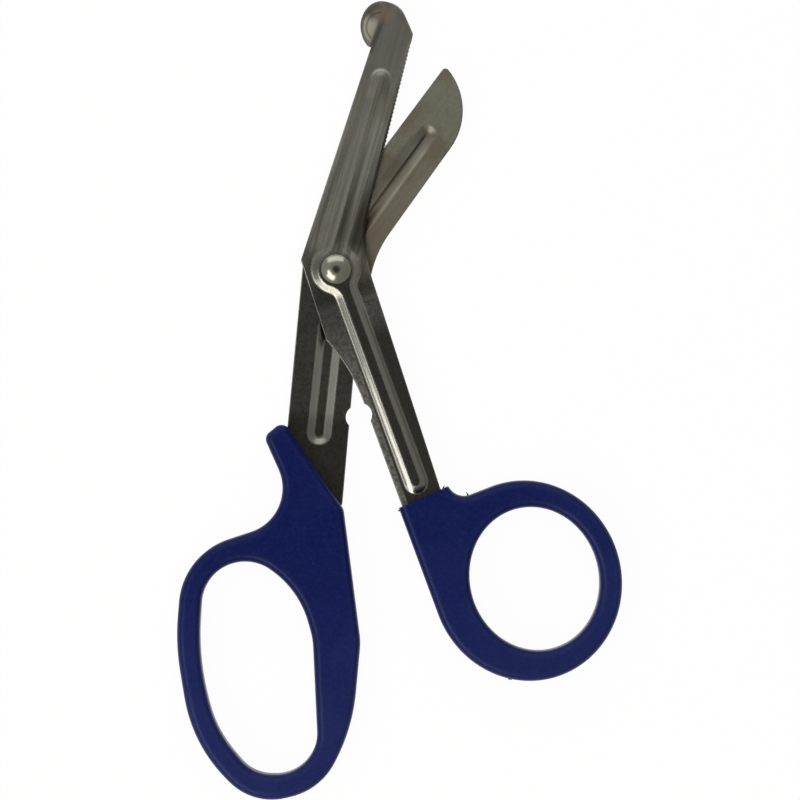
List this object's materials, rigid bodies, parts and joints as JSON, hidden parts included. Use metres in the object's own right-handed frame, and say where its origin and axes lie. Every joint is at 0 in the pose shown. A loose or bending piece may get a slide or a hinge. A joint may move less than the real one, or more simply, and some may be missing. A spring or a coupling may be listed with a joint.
{
  "type": "bandage scissors",
  "caption": "Bandage scissors with a cranked serrated probe blade, a plain pointed blade, a domed pivot rivet and moulded plastic thumb and finger loops.",
  "frame": {"origin": "centre of the bounding box, on the face that the handles lie on", "axes": "+Z towards the viewer, out of the table; +Y along the scissors towards the blade tips; +X towards the thumb loop"},
  "size_m": [0.1058, 0.19, 0.0082],
  "materials": {
    "blade_steel": "pressed sheet, ground along the blade",
    "plain_blade_steel": "pressed sheet, polished",
    "thumb_plastic": "navy, fine moulded grain",
    "finger_plastic": "navy, fine moulded grain",
    "rivet_steel": "polished dome"
  },
  "bodies": {
    "finger_half": {"plain_blade": "plain_blade_steel", "finger_handle": "finger_plastic", "pivot_rivet": "rivet_steel"},
    "thumb_half": {"probe_blade": "blade_steel", "thumb_handle": "thumb_plastic"}
  },
  "joints": [
    {"name": "pivot", "type": "hinge", "parent": "finger_half", "child": "thumb_half", "pos_m": [-0.01508, 0.03108, 0.004], "axis": [0, 0, 1], "range_deg": [-12, 50]}
  ]
}
